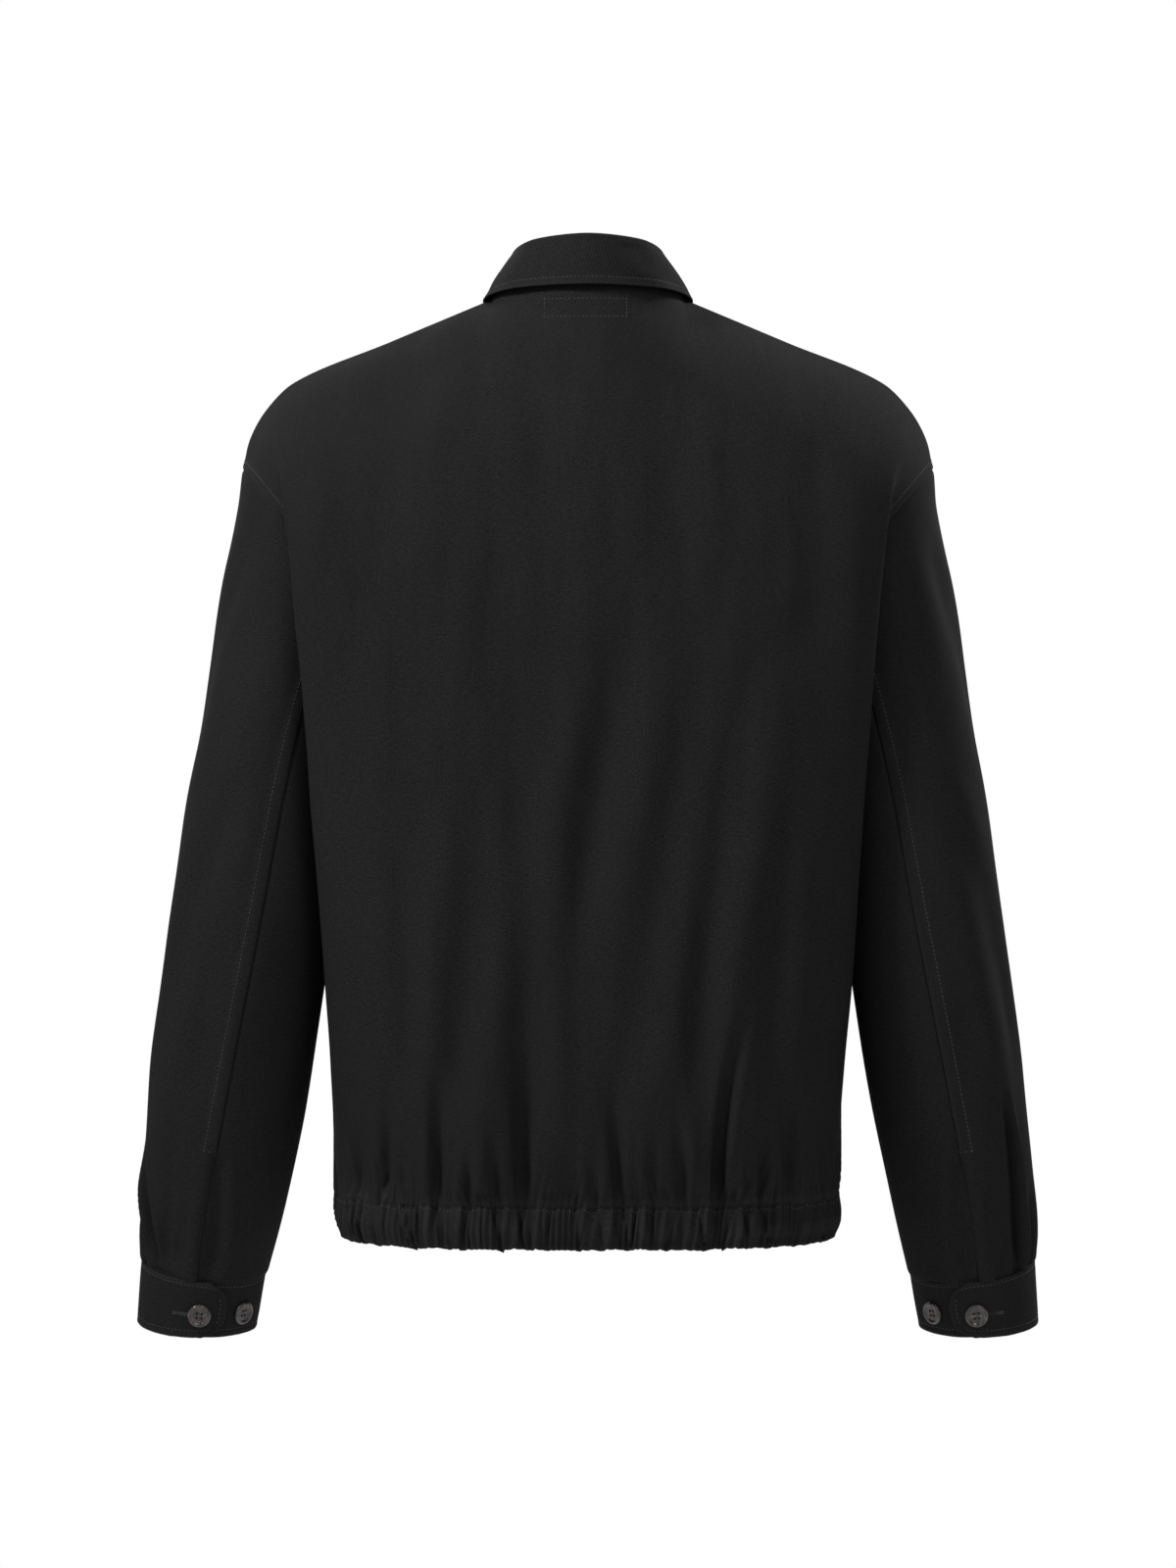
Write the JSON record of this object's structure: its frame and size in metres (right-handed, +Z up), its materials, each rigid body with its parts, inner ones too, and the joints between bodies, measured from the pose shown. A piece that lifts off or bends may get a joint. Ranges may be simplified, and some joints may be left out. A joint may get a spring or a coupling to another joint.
{
  "type": "jacket",
  "caption": "Boxy zip-up harrington jacket in near-black cotton twill, worn and hollow, with turned-down collar, buttoned cuffs and gathered hem band.",
  "frame": {"origin": "the middle of the neck hole at the height where the shoulder seams start, where the wearer's neck and shoulders hold the jacket up", "axes": "+Z up, the jacket's front faces -Y and its back +Y, the wearer's left is +X"},
  "size_m": [0.6488, 0.262, 0.781],
  "materials": {
    "twill": "matte cotton twill",
    "horn": "satin horn-like resin",
    "tape": "woven zip tape",
    "metal": "gunmetal plating"
  },
  "bodies": {
    "jacket": {"back": "twill", "front_left": "twill", "front_right": "twill", "sleeve_top_left": "twill", "sleeve_top_right": "twill", "sleeve_under_left": "twill", "sleeve_under_right": "twill", "cuff_left": "twill", "cuff_right": "twill", "collar_stand": "twill", "collar_fall": "twill", "hem_band_back": "twill", "hem_band_front_left": "twill", "hem_band_front_right": "twill", "cuff_button_lap_left": "horn", "cuff_button_lap_right": "horn", "cuff_button_under_left": "horn", "cuff_button_under_right": "horn", "zip_tape_left": "tape", "zip_tape_right": "tape", "zip_slider": "metal"},
    "pull": {"zip_pull": "metal"}
  },
  "joints": [
    {"name": "zip_pull_swing", "type": "hinge", "parent": "jacket", "child": "pull", "pos_m": [0, -0.08465, -0.06536], "axis": [-1, 0, 0], "range_deg": [0, 135]}
  ]
}
